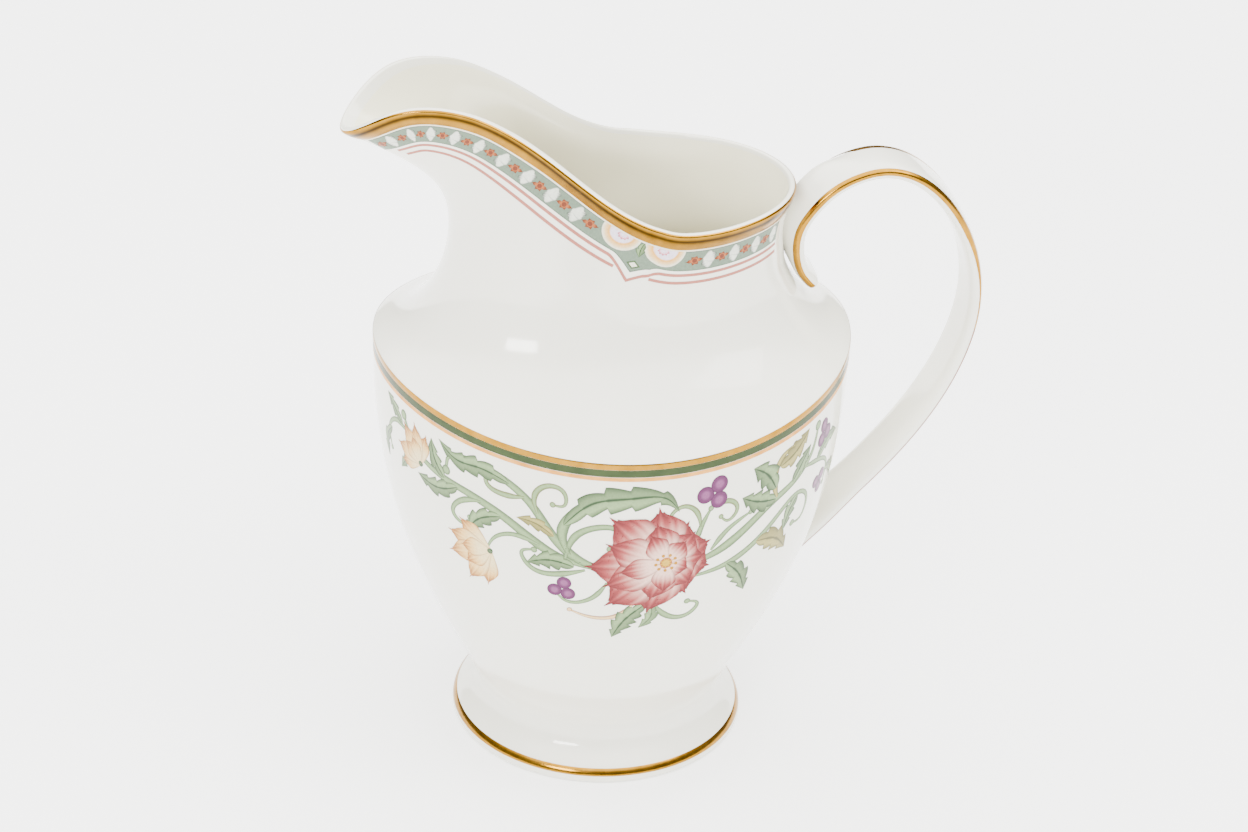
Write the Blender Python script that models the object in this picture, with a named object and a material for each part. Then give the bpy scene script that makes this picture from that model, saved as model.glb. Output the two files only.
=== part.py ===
"""Porcelain cream jug: a round belly on a pedestal foot, an oval neck with a high spout, and a strap handle.

The foot is turned about the Z axis and the belly swells from it into a slightly oval shoulder that sits lower
at the jug's sides. Above the shoulder the section narrows to an oval neck and opens to a pear-shaped rim. The spout points along -X and the handle along +X. The foot stands on z = 0.
"""

import math

import bmesh
import bpy
import numpy as np

# Driving dimensions, in metres.
SHOULDER_R = 0.042  # largest radius, at the gilt line
WALL = 0.0022  # fired wall of the belly and neck
LIP = 0.0011  # the wall thins to this at the rim
FLOOR = 0.0032  # thickness of the belly's floor
HANDLE_WIDTH = 0.0098
HANDLE_THICK = 0.0025
JOINT_GAP = 0.0003  # slip joint between two pieces of clay
FILM = 0.0001  # thickness of gilding and enamel
FILM_GAP = 0.00003  # between a film and the glaze under it

# Heights, as shares of the shoulder radius.
WAIST_Z = 0.255  # where the belly stands on the foot
SHOULDER_Z = 1.89  # under the spout and under the handle
SADDLE = 0.125  # how much lower the shoulder is at the jug's sides
BACK_RIM_Z = 2.545  # rim at the handle

# Plan of the shoulder and rim, as shares of the shoulder radius.
SHOULDER_HALF_WIDTH = 0.89
SPOUT_REACH = 1.15
BACK_REACH = 0.735
MOUTH_HALF_WIDTH = 0.472
MOUTH_SHIFT = 0.08  # the widest place lies this far towards the handle
SPOUT_PINCH = 0.28  # how much the channel of the spout draws in

# Turned outlines, as (height, radius) shares of the shoulder radius.
BELLY_OUTLINE = [
    (0.255, 0.552), (0.37, 0.597), (0.52, 0.674), (0.72, 0.767), (0.97, 0.864),
    (1.27, 0.943), (1.62, 0.990), (1.89, 1.000),
]
FOOT_OUTLINE = [
    (0.0, 0.626), (0.025, 0.626), (0.055, 0.614), (0.09, 0.588), (0.14, 0.550), (0.20, 0.532), (0.255, 0.541),
]
FOOT_HOLLOW = [(0.0, 0.560), (0.04, 0.522), (0.10, 0.475), (0.17, 0.430), (0.248, 0.410)]

# Height of the rim over a place in plan, as (x, z) shares of the shoulder radius, from the spout to the handle.
RIM_LINE = [
    (-1.15, 2.893), (-0.97, 3.040), (-0.80, 3.072), (-0.60, 3.018), (-0.365, 2.860), (-0.137, 2.682),
    (0.066, 2.578), (0.265, 2.547), (0.50, 2.545), (0.74, 2.545),
]

# How the section draws in over the shoulder, as (share of the way to the rim, share of the drawing-in left).
DOME = [
    (0.0, 1.0), (0.02, 0.93), (0.05, 0.80), (0.10, 0.62), (0.17, 0.44), (0.26, 0.27), (0.36, 0.135),
    (0.47, 0.04), (0.60, 0.0),
]
FRONT_NECK = [(0.7, 0.715), (0.8, 0.770), (0.9, 0.915), (1.0, SPOUT_REACH)]
REAR_NECK = [(0.7, 0.695), (0.8, 0.700), (0.9, 0.715), (1.0, BACK_REACH)]
SIDE_NECK = [(0.7, 0.451), (0.8, 0.448), (0.9, 0.450), (1.0, MOUTH_HALF_WIDTH)]
FRONT_WAIST = 0.703  # narrowest reach of the neck towards the spout
REAR_WAIST = 0.700
SIDE_WAIST = 0.455

# Middle line of the handle strap, as (x, z) shares of the shoulder radius, from the free curl to the belly.
HANDLE_LINE = [
    (0.845, 2.072), (0.780, 2.150), (0.752, 2.250), (0.760, 2.345), (0.806, 2.430), (0.888, 2.517),
    (0.985, 2.570), (1.090, 2.591), (1.206, 2.566), (1.325, 2.482), (1.438, 2.332), (1.515, 2.140),
    (1.538, 1.930), (1.501, 1.720), (1.402, 1.486), (1.262, 1.274), (1.090, 1.075), (0.900, 0.880),
    (0.740, 0.716),
]
HANDLE_REACH = 1.571  # outer face of the handle from the axis

# Decoration lines: (top, bottom) distances above the shoulder's edge, and for the foot (top, bottom) heights.
SHOULDER_LINES = {
    "shoulder_gilt_line": (0.0, -0.030),
    "shoulder_green_line": (-0.035, -0.061),
    "shoulder_ochre_line": (-0.067, -0.079),
}
FOOT_LINE = (0.066, 0.036)
RIM_GILT_WIDTH = 0.0024
HANDLE_LINE_WIDTH = 0.0011

# Mesh fineness.
AROUND = 48
BELLY_RINGS = 9
WALL_START = 2  # the belly ring at which the inner wall ends and the bowl of the floor begins
BOWL_TAPER = 0.12
NECK_RINGS = 15
NECK_SPREAD = 1.25  # above 1, the rings crowd towards the shoulder
FOOT_RINGS = 8
HANDLE_STEPS = 44

# The jug's own axis lies this far along X from the middle of its outline, which is the origin.
AXIS_X = SHOULDER_R * (SPOUT_REACH - HANDLE_REACH) / 2

PORCELAIN = ((0.90, 0.89, 0.86), 0.12, 0.0)
GILDING = ((0.83, 0.58, 0.22), 0.18, 1.0)
GREEN_ENAMEL = ((0.16, 0.22, 0.13), 0.25, 0.0)
OCHRE_ENAMEL = ((0.72, 0.45, 0.25), 0.25, 0.0)


class Spline:
    """A natural cubic spline through (parameter, value, ...) knots."""

    def __init__(self, knots):
        table = np.array(knots, float)
        self.t = table[:, 0]
        self.y = table[:, 1:]
        step = np.diff(self.t)
        count = len(self.t)
        matrix = np.eye(count)
        right = np.zeros_like(self.y)
        slope = np.diff(self.y, axis=0) / step[:, None]
        for i in range(1, count - 1):
            matrix[i, i - 1 : i + 2] = step[i - 1], 2 * (step[i - 1] + step[i]), step[i]
            right[i] = 6 * (slope[i] - slope[i - 1])
        self.bend = np.linalg.solve(matrix, right)

    def __call__(self, t):
        t = np.asarray(t, float)
        i = np.clip(np.searchsorted(self.t, t, side="right") - 1, 0, len(self.t) - 2)
        step = (self.t[i + 1] - self.t[i])[..., None]
        a = ((self.t[i + 1] - t) / (self.t[i + 1] - self.t[i]))[..., None]
        b = 1 - a
        value = a * self.y[i] + b * self.y[i + 1]
        value += ((a**3 - a) * self.bend[i] + (b**3 - b) * self.bend[i + 1]) * step**2 / 6
        return value[..., 0] if value.shape[-1] == 1 else value


def neck_spline(shoulder, waist, upper):
    """The distance from the shoulder to the rim: drawn in over the dome to the neck's waist, then opening."""
    return Spline([(share, waist + (shoulder - waist) * left) for share, left in DOME] + upper)


belly_radius = Spline(BELLY_OUTLINE)
foot_radius = Spline(FOOT_OUTLINE)
rim_height = Spline(RIM_LINE)
front_reach = neck_spline(1.0, FRONT_WAIST, FRONT_NECK)
rear_reach = neck_spline(1.0, REAR_WAIST, REAR_NECK)
half_width = neck_spline(SHOULDER_HALF_WIDTH, SIDE_WAIST, SIDE_NECK)


def smoothstep(low, high, value):
    share = np.clip((value - low) / (high - low), 0, 1)
    return share * share * (3 - 2 * share)


def neck_plan(angle, share):
    """The section at this share of the way from shoulder to rim. Angle 0 faces the handle."""
    c, s = np.cos(angle), np.sin(angle)
    shift = MOUTH_SHIFT * smoothstep(0.2, 1.0, share)
    reach = np.where(c > 0, rear_reach(share) - shift, front_reach(share) + shift)
    x = shift + reach * c
    pinch = smoothstep(-0.15, 0.5, -c) * (1 - 0.35 * smoothstep(0.6, 1.0, -c))
    pinch = 1 - SPOUT_PINCH * smoothstep(0.45, 1.0, share) * pinch
    return x, half_width(share) * s * pinch


def outer_face(angle, level):
    """A point of the jug's outer face, in metres. Level 0 is the waist, 1 the shoulder and 2 the rim."""
    angle, level = np.broadcast_arrays(np.asarray(angle, float), np.asarray(level, float))
    shoulder_z = SHOULDER_Z - SADDLE * np.sin(angle) ** 2
    low = np.clip(level, 0, 1)
    radius = belly_radius(WAIST_Z + (SHOULDER_Z - WAIST_Z) * low)
    oval = 1 - (1 - SHOULDER_HALF_WIDTH) * low**2
    low_z = WAIST_Z + (shoulder_z - WAIST_Z) * low
    high = np.clip(level - 1, 0, 1)
    x, y = neck_plan(angle, high)
    rim_x, _ = neck_plan(angle, np.ones_like(high))
    high_z = shoulder_z + (BACK_RIM_Z - shoulder_z) * high + (rim_height(rim_x) - BACK_RIM_Z) * high**2
    below = level <= 1
    x = np.where(below, radius * np.cos(angle), x)
    y = np.where(below, radius * oval * np.sin(angle), y)
    z = np.where(below, low_z, high_z)
    return SHOULDER_R * np.stack([x, y, z], axis=-1)


def face_normal(angle, level):
    """Outward unit normal of the outer face, from small steps along it."""
    turn, rise = 1e-4, 1e-4
    low = np.clip(np.asarray(level) - rise, 0, 2)
    high = np.clip(np.asarray(level) + rise, 0, 2)
    along = outer_face(np.asarray(angle) + turn, level) - outer_face(np.asarray(angle) - turn, level)
    up = outer_face(angle, high) - outer_face(angle, low)
    normal = np.cross(along, up)
    return normal / np.linalg.norm(normal, axis=-1, keepdims=True)


def wall_at(level):
    """The clay's thickness, which thins towards the rim."""
    return WALL - (WALL - LIP) * smoothstep(1.4, 2.0, level)[..., None]


def level_below_rim(angles, distance):
    """For each angle, the level that lies this far below the rim, measured square to the rim."""
    turn, fall = 1e-3, 0.03
    along = outer_face(angles + turn, 2.0) - outer_face(angles - turn, 2.0)
    down = outer_face(angles, 2.0 - fall) - outer_face(angles, 2.0)
    sine = np.linalg.norm(np.cross(along, down), axis=-1)
    sine /= np.linalg.norm(along, axis=-1) * np.linalg.norm(down, axis=-1)
    levels = np.linspace(1.3, 2.0, 141)
    found = []
    for angle, slant in zip(angles, sine):
        line = outer_face(angle, levels)
        steps = np.linalg.norm(np.diff(line, axis=0), axis=1)
        to_rim = np.concatenate([np.cumsum(steps[::-1])[::-1], [0]])
        found.append(np.interp(-distance / slant, -to_rim, levels))
    return np.array(found)


def material(name, look):
    colour, roughness, metallic = look
    made = bpy.data.materials.new(name)
    made.use_nodes = True
    shader = made.node_tree.nodes["Principled BSDF"]
    shader.inputs["Base Color"].default_value = (*colour, 1)
    shader.inputs["Roughness"].default_value = roughness
    shader.inputs["Metallic"].default_value = metallic
    return made


def add_object(name, bm, look, smooth_angle=math.radians(50)):
    bmesh.ops.recalc_face_normals(bm, faces=bm.faces[:])
    mesh = bpy.data.meshes.new(name)
    bm.to_mesh(mesh)
    bm.free()
    mesh.shade_smooth()
    mesh.set_sharp_from_angle(angle=smooth_angle)
    mesh.materials.append(look)
    made = bpy.data.objects.new(name, mesh)
    made.location.x = AXIS_X
    bpy.context.scene.collection.objects.link(made)
    return made


def bridge(bm, rings):
    """Joins each ring of vertices to the next with quads."""
    for lower, upper in zip(rings, rings[1:]):
        count = len(lower)
        for i in range(count):
            j = (i + 1) % count
            bm.faces.new((lower[i], lower[j], upper[j], upper[i]))


def add_rings(bm, rings):
    return [[bm.verts.new(point) for point in ring] for ring in rings]


def closed_rings(rings):
    """A ring-shaped solid: the last section joins the first."""
    bm = bmesh.new()
    rows = add_rings(bm, rings)
    bridge(bm, rows + rows[:1])
    return bm


def capped_rings(rings):
    """A solid with a flat cap on its first and last section."""
    bm = bmesh.new()
    rows = add_rings(bm, rings)
    bridge(bm, rows)
    bm.faces.new(rows[0])
    bm.faces.new(rows[-1])
    return bm


def turned(radius, height, angles):
    """A level circle; sizes are shares of the shoulder radius."""
    x, y = radius * np.cos(angles), radius * np.sin(angles)
    return SHOULDER_R * np.stack([x, y, np.full_like(x, height)], axis=-1)


def shoulder_level(rise):
    """The level this far above the shoulder's edge, or below it when negative."""
    span = BACK_RIM_Z - SHOULDER_Z if rise > 0 else SHOULDER_Z - WAIST_Z
    return 1 + rise / span


def line_levels(line):
    """The levels of a shoulder line's lower edge, middle and upper edge."""
    top, bottom = line
    return [shoulder_level(rise) for rise in (bottom, (top + bottom) / 2, top)]


def rim_levels(angles):
    """The rings under the rim's gilding, from its lower edge to the rim."""
    return [level_below_rim(angles, RIM_GILT_WIDTH * (1 - share)) for share in (0, 1 / 3, 2 / 3, 1)]


def face_levels(angles):
    """The rings of the outer face from waist to rim. They pass through the edges of every painted line."""
    lines = sorted(level for line in SHOULDER_LINES.values() for level in line_levels(line))
    belly = np.linspace(0, lines[0], BELLY_RINGS + 1)[:-1]
    lower = [np.full(AROUND, level) for level in [*belly, *lines]]
    rim = rim_levels(angles)
    shares = np.linspace(0, 1, NECK_RINGS + 1)[1:-1] ** NECK_SPREAD
    neck = [lines[-1] + (rim[0] - lines[-1]) * share for share in shares]
    return lower + neck + rim


def make_body(look):
    angles = np.linspace(0, 2 * np.pi, AROUND, endpoint=False)
    levels = face_levels(angles)
    outside = [outer_face(angles, level) for level in levels]
    inside = [ring - wall_at(level) * face_normal(angles, level) for ring, level in zip(outside, levels)]
    # Behind the shoulder's edge the inner wall cuts the corner, as it does in a cast piece.
    del inside[BELLY_RINGS : -NECK_RINGS - 1]
    lip = (outside[-1] + inside[-1]) / 2
    lip[:, 2] += LIP / 3

    # The inner wall runs down to its lowest level, and the floor is a bowl that closes under it.
    wall = inside[:WALL_START - 1:-1]
    edge = inside[WALL_START]
    floor_z = SHOULDER_R * WAIST_Z + FLOOR
    bowl = []
    for share in (0.3, 0.55, 0.75, 0.9, 0.98):
        ring = edge.copy()
        ring[:, :2] *= math.sqrt(1 - share**2) * (1 - BOWL_TAPER * share)
        ring[:, 2] += (floor_z - edge[:, 2]) * share
        bowl.append(ring)
    return add_object("body", capped_rings([*outside, lip, *wall, *bowl]), look)


def make_foot(look):
    angles = np.linspace(0, 2 * np.pi, AROUND, endpoint=False)
    top = WAIST_Z - JOINT_GAP / SHOULDER_R
    heights = [*np.linspace(top, FOOT_LINE[0], FOOT_RINGS), sum(FOOT_LINE) / 2, FOOT_LINE[1], FOOT_LINE[1] / 2, 0]
    outline = [(height, foot_radius(height)) for height in heights]
    hollow = [(min(height, top), radius) for height, radius in FOOT_HOLLOW]
    rings = [turned(radius, height, angles) for height, radius in outline + hollow]
    return add_object("foot", closed_rings(rings), look)


def handle_frame(t):
    """Middle line of the strap and its outward direction in the XZ plane, at this share of its length."""
    points = np.array(HANDLE_LINE)
    spans = np.linalg.norm(np.diff(points, axis=0), axis=1)
    places = np.concatenate([[0], np.cumsum(spans)]) / spans.sum()
    line = Spline(np.column_stack([places, points]))
    step = 1e-3
    tangent = line(np.clip(t + step, 0, 1)) - line(np.clip(t - step, 0, 1))
    tangent /= np.linalg.norm(tangent, axis=-1, keepdims=True)
    outward = np.stack([-tangent[..., 1], tangent[..., 0]], axis=-1)
    return SHOULDER_R * line(t), outward


def strap_section():
    """Half-outline of the strap as (across, outward) from its inner face to its outer face, then mirrored."""
    w, h = HANDLE_WIDTH / 2, HANDLE_THICK / 2
    side = [(0.72 * w, -h), (0.93 * w, -0.8 * h), (w, -0.1 * h), (0.96 * w, 0.62 * h)]
    side += [(0.96 * w - HANDLE_LINE_WIDTH, 1.0 * h), (0.35 * w, 1.12 * h)]
    return side + [(-across, out) for across, out in side[::-1]]


def place_section(t, section):
    """The strap's section at this share of its length, in the jug's frame."""
    centre, outward = handle_frame(t)
    return np.array(
        [(centre[0] + outward[0] * out, across, centre[1] + outward[1] * out) for across, out in section]
    )


def joint_thickness(t):
    """Clay added under the strap where it is luted along the neck."""
    return 0.0026 * smoothstep(0.06, 0.10, t) * (1 - smoothstep(0.17, 0.23, t))


def make_handle(look, cutter):
    rings = []
    for t in np.linspace(0, 1, HANDLE_STEPS + 1):
        extra = joint_thickness(t)
        section = [(across, out + extra * (out > HANDLE_THICK / 2)) for across, out in strap_section()]
        rings.append(place_section(t, section))
    return trim(add_object("handle", capped_rings(rings), look), cutter)


def trim(piece, cutter):
    """Cuts a piece back to the joint gap from the body."""
    cut = piece.modifiers.new("clear_of_body", "BOOLEAN")
    cut.operation = "DIFFERENCE"
    cut.object = cutter
    return piece


def make_clearance():
    """The jug's outer face moved out by the joint gap, filled solid. It trims the handle's ends."""
    angles = np.linspace(0, 2 * np.pi, AROUND, endpoint=False)
    levels = face_levels(angles)
    rings = [outer_face(angles, level) + JOINT_GAP * face_normal(angles, level) for level in levels]
    made = add_object("body_clearance", capped_rings(rings), None)
    made.hide_render = True
    made.display_type = "WIRE"
    return made


def film(rings, normals):
    """A thin closed band over some rings of a face."""
    near = [ring + FILM_GAP * normal for ring, normal in zip(rings, normals)]
    far = [ring + (FILM_GAP + FILM) * normal for ring, normal in zip(rings, normals)]
    return closed_rings(near + far[::-1])


def make_rim_gilding(look):
    angles = np.linspace(0, 2 * np.pi, AROUND, endpoint=False)
    levels = rim_levels(angles)
    rings = [outer_face(angles, level) for level in levels]
    return add_object("rim_gilt_band", film(rings, [face_normal(angles, level) for level in levels]), look)


def make_shoulder_line(name, line, look):
    angles = np.linspace(0, 2 * np.pi, AROUND, endpoint=False)
    levels = line_levels(line)
    rings = [outer_face(angles, level) for level in levels]
    return add_object(name, film(rings, [face_normal(angles, level) for level in levels]), look)


def make_foot_line(look):
    angles = np.linspace(0, 2 * np.pi, AROUND, endpoint=False)
    step = 1e-4
    rings, normals = [], []
    for height in (FOOT_LINE[0], sum(FOOT_LINE) / 2, FOOT_LINE[1]):
        rings.append(turned(foot_radius(height), height, angles))
        slope = (foot_radius(height + step) - foot_radius(height - step)) / (2 * step)
        normals.append(turned(1, -slope, angles) / math.hypot(1, slope) / SHOULDER_R)
    return add_object("foot_gilt_line", film(rings, normals), look)


def make_handle_line(name, side, look, cutter):
    """A gilt line on one shoulder of the strap's outer face."""
    section = strap_section()[3:5]
    (y0, h0), (y1, h1) = [(side * across, out) for across, out in section]
    length = math.hypot(y1 - y0, h1 - h0)
    ny, nh = side * abs(h1 - h0) / length, abs(y1 - y0) / length
    corners = [(y0, h0, FILM_GAP), (y1, h1, FILM_GAP), (y1, h1, FILM_GAP + FILM), (y0, h0, FILM_GAP + FILM)]
    profile = [(y + ny * lift, h + nh * lift) for y, h, lift in corners]
    steps = np.linspace(0, 1, HANDLE_STEPS + 1)[1:]
    return trim(add_object(name, capped_rings([place_section(t, profile) for t in steps]), look), cutter)


def clear_scene():
    for existing in list(bpy.data.objects):
        bpy.data.objects.remove(existing, do_unlink=True)


def main():
    clear_scene()
    porcelain = material("porcelain", PORCELAIN)
    gilding = material("gilding", GILDING)
    shoulder_looks = {
        "shoulder_gilt_line": gilding,
        "shoulder_green_line": material("green_enamel", GREEN_ENAMEL),
        "shoulder_ochre_line": material("ochre_enamel", OCHRE_ENAMEL),
    }
    make_body(porcelain)
    make_foot(porcelain)
    clearance = make_clearance()
    make_handle(porcelain, clearance)
    make_rim_gilding(gilding)
    for name, line in SHOULDER_LINES.items():
        make_shoulder_line(name, line, shoulder_looks[name])
    make_foot_line(gilding)
    make_handle_line("handle_gilt_line_left", -1, gilding, clearance)
    make_handle_line("handle_gilt_line_right", 1, gilding, clearance)


main()
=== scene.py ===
"""Looks for the porcelain cream jug: smooth glazed clay, burnished gilt lines and a printed flower garland.

Shapes are drawn in the jug's own frame (its axis is Z, the spout points along -X, the handle along +X),
in metres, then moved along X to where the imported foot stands.
"""

import math

import bpy
import numpy as np
from mathutils import Matrix, Vector


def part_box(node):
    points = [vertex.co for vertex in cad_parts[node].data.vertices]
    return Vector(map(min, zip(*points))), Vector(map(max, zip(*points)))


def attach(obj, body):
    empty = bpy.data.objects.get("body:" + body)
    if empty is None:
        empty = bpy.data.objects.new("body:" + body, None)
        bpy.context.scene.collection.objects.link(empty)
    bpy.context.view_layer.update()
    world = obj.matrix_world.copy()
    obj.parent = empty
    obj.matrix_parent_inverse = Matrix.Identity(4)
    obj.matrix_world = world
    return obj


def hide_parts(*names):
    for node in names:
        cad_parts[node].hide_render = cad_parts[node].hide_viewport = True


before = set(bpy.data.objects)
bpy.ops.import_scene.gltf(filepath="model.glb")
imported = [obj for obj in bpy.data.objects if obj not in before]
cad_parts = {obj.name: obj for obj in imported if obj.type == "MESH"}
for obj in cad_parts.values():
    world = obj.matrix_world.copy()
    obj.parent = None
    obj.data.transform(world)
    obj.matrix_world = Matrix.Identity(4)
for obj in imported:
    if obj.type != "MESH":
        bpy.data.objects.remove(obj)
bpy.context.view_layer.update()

MM = 0.001

# Driving dimensions, in metres. Profiles below are shares of the shoulder radius.
SHOULDER_R = 0.042
WALL = 0.0022
LIP = 0.0011  # the wall thins to this at the rim
FLOOR = 0.0032
HANDLE_WIDTH = 0.0098
HANDLE_THICK = 0.0025
FILM_LIFT = 0.00003  # how far a painted film stands off the glaze
FILM_SINK = 0.00002  # how far its underside is sunk
GILT_DOME = 0.00006  # how far a painted line's middle stands above its edges
RIM_GILT_DOME = 0.00022
ENAMEL_DOME = 0.00001
GLAZE_RIPPLE = 0.00003

WAIST_Z = 0.255
SHOULDER_Z = 1.89
SADDLE = 0.125  # how much lower the shoulder is at the jug's sides
BACK_RIM_Z = 2.545
SHOULDER_HALF_WIDTH = 0.89
SPOUT_REACH = 1.15
BACK_REACH = 0.735
MOUTH_HALF_WIDTH = 0.472
MOUTH_SHIFT = 0.08
SPOUT_PINCH = 0.28

BELLY_OUTLINE = [
    (0.255, 0.552), (0.37, 0.597), (0.52, 0.674), (0.72, 0.767), (0.97, 0.864),
    (1.27, 0.943), (1.62, 0.990), (1.89, 1.000),
]
RIM_LINE = [
    (-1.15, 2.893), (-0.97, 3.040), (-0.80, 3.072), (-0.60, 3.018), (-0.365, 2.860), (-0.137, 2.682),
    (0.066, 2.578), (0.265, 2.547), (0.50, 2.545), (0.74, 2.545),
]
FOOT_OUTLINE = [
    (0.0, 0.626), (0.025, 0.626), (0.055, 0.614), (0.09, 0.588), (0.14, 0.550), (0.20, 0.532),
    (0.255, 0.541),
]
FOOT_HOLLOW = [(0.0, 0.560), (0.04, 0.522), (0.10, 0.475), (0.17, 0.430), (0.248, 0.410)]
DOME = [
    (0.0, 1.0), (0.02, 0.93), (0.05, 0.80), (0.10, 0.62), (0.17, 0.44), (0.26, 0.27), (0.36, 0.135),
    (0.47, 0.04), (0.60, 0.0),
]
FRONT_NECK = [(0.7, 0.715), (0.8, 0.770), (0.9, 0.915), (1.0, SPOUT_REACH)]
REAR_NECK = [(0.7, 0.695), (0.8, 0.700), (0.9, 0.715), (1.0, BACK_REACH)]
SIDE_NECK = [(0.7, 0.451), (0.8, 0.448), (0.9, 0.450), (1.0, MOUTH_HALF_WIDTH)]
FRONT_WAIST = 0.703
REAR_WAIST = 0.700
SIDE_WAIST = 0.455
HANDLE_LINE = [
    (0.845, 2.072), (0.780, 2.150), (0.752, 2.250), (0.760, 2.345), (0.806, 2.430), (0.888, 2.517),
    (0.985, 2.570), (1.090, 2.591), (1.206, 2.566), (1.325, 2.482), (1.438, 2.332), (1.515, 2.140),
    (1.538, 1.930), (1.501, 1.720), (1.402, 1.486), (1.262, 1.274), (1.090, 1.075), (0.900, 0.880),
]

# Painted lines: (top, bottom) distances above the shoulder's edge, and heights on the foot.
SHOULDER_GILT = (0.0, -0.028)
SHOULDER_GREEN = (-0.029, -0.062)
SHOULDER_OCHRE = (-0.064, -0.082)
FOOT_GILT = (0.066, 0.036)
RIM_GILT_WIDTH = 0.0028

# Mesh fineness.
AROUND = 256
BELLY_ROWS = 48
NECK_ROWS = 72
INNER_ROWS = 60
LINE_AROUND = 288
HANDLE_ROWS = 220
SECTION_POINTS = 40
CHART_STEP = 0.00025  # between the rim chart's columns, in metres

SECTION_ACROSS = 0.42  # how square the strap's section is, across and outward
SECTION_OUTWARD = 0.75
SECTION_CROWN = 0.18  # how far its outer face bulges, as a share of its half thickness
SECTION_UNDER = 0.3  # the inner face's bulge as a share of the outer's
STRAP_END = 0.012  # how much of the strap's run its rounded free end takes
FOOT_FLARE = 0.14  # how much wider the strap is where it meets the belly
PAD_THICK = 0.0024
JOINT_DEPTH = 0.0006  # how deep the strap's lower end is let into the belly
LIP_ROUND = 0.42  # how far the lip's half round rises, as a share of its thickness
NECK_FOOT = 0.16  # where the neck's inner rows end, as a share of the neck before its power
BELLY_INSIDE_TOP = 0.90  # the levels between which the belly's inner rows run
FLOOR_EDGE = 0.22
FOOT_EDGE = 0.02  # the radius of the foot's lowest edge, as a share of the shoulder radius


class Spline:
    """A natural cubic spline through (parameter, value, ...) knots."""

    def __init__(self, knots):
        table = np.array(knots, float)
        self.t = table[:, 0]
        self.y = table[:, 1:]
        step = np.diff(self.t)
        count = len(self.t)
        matrix = np.eye(count)
        right = np.zeros_like(self.y)
        slope = np.diff(self.y, axis=0) / step[:, None]
        for i in range(1, count - 1):
            matrix[i, i - 1 : i + 2] = step[i - 1], 2 * (step[i - 1] + step[i]), step[i]
            right[i] = 6 * (slope[i] - slope[i - 1])
        self.bend = np.linalg.solve(matrix, right)

    def __call__(self, t):
        t = np.asarray(t, float)
        i = np.clip(np.searchsorted(self.t, t, side="right") - 1, 0, len(self.t) - 2)
        step = (self.t[i + 1] - self.t[i])[..., None]
        a = ((self.t[i + 1] - t) / (self.t[i + 1] - self.t[i]))[..., None]
        b = 1 - a
        value = a * self.y[i] + b * self.y[i + 1]
        value += ((a**3 - a) * self.bend[i] + (b**3 - b) * self.bend[i + 1]) * step**2 / 6
        return value[..., 0] if value.shape[-1] == 1 else value


def neck_spline(shoulder, waist, upper):
    return Spline([(share, waist + (shoulder - waist) * left) for share, left in DOME] + upper)


belly_radius = Spline(BELLY_OUTLINE)
foot_radius = Spline(FOOT_OUTLINE)
rim_height = Spline(RIM_LINE)
front_reach = neck_spline(1.0, FRONT_WAIST, FRONT_NECK)
rear_reach = neck_spline(1.0, REAR_WAIST, REAR_NECK)
half_width = neck_spline(SHOULDER_HALF_WIDTH, SIDE_WAIST, SIDE_NECK)


def smoothstep(low, high, value):
    share = np.clip((np.asarray(value, float) - low) / (high - low), 0, 1)
    return share * share * (3 - 2 * share)


def neck_plan(angle, share):
    """The section at this share of the way from shoulder to rim. Angle 0 faces the handle."""
    c, s = np.cos(angle), np.sin(angle)
    shift = MOUTH_SHIFT * smoothstep(0.2, 1.0, share)
    reach = np.where(c > 0, rear_reach(share) - shift, front_reach(share) + shift)
    x = shift + reach * c
    pinch = smoothstep(-0.15, 0.5, -c) * (1 - 0.35 * smoothstep(0.6, 1.0, -c))
    pinch = 1 - SPOUT_PINCH * smoothstep(0.45, 1.0, share) * pinch
    return x, half_width(share) * s * pinch


def outer_face(angle, level):
    """A point of the jug's outer face. Level 0 is the waist, 1 the shoulder's edge and 2 the rim."""
    angle, level = np.broadcast_arrays(np.asarray(angle, float), np.asarray(level, float))
    shoulder_z = SHOULDER_Z - SADDLE * np.sin(angle) ** 2
    low = np.clip(level, 0, 1)
    radius = belly_radius(WAIST_Z + (SHOULDER_Z - WAIST_Z) * low)
    oval = 1 - (1 - SHOULDER_HALF_WIDTH) * low**2
    low_z = WAIST_Z + (shoulder_z - WAIST_Z) * low
    high = np.clip(level - 1, 0, 1)
    x, y = neck_plan(angle, high)
    rim_x, _ = neck_plan(angle, np.ones_like(high))
    high_z = shoulder_z + (BACK_RIM_Z - shoulder_z) * high + (rim_height(rim_x) - BACK_RIM_Z) * high**2
    below = level <= 1
    x = np.where(below, radius * np.cos(angle), x)
    y = np.where(below, radius * oval * np.sin(angle), y)
    z = np.where(below, low_z, high_z)
    return SHOULDER_R * np.stack([x, y, z], axis=-1)


def wall_at(level):
    return WALL - (WALL - LIP) * smoothstep(1.4, 2.0, level)


def unit(vectors):
    return vectors / np.linalg.norm(vectors, axis=-1, keepdims=True)


def face_normal(angle, level):
    """Outward normal of the outer face. The step is wide enough to round off the shoulder's edge."""
    turn, rise = 1e-3, 4e-3
    low = np.clip(np.asarray(level) - rise, 0, 2)
    high = np.clip(np.asarray(level) + rise, 0, 2)
    along = outer_face(np.asarray(angle) + turn, level) - outer_face(np.asarray(angle) - turn, level)
    up = outer_face(angle, high) - outer_face(angle, low)
    return unit(np.cross(along, up))


def shoulder_level(rise):
    span = BACK_RIM_Z - SHOULDER_Z if rise > 0 else SHOULDER_Z - WAIST_Z
    return 1 + rise / span


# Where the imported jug's own axis stands.
foot_low, foot_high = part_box("foot")
AXIS_X = (foot_low.x + foot_high.x) / 2


# ---- meshes


def add_object(name, data):
    made = bpy.data.objects.new(name, data)
    bpy.context.scene.collection.objects.link(made)
    return made


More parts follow.
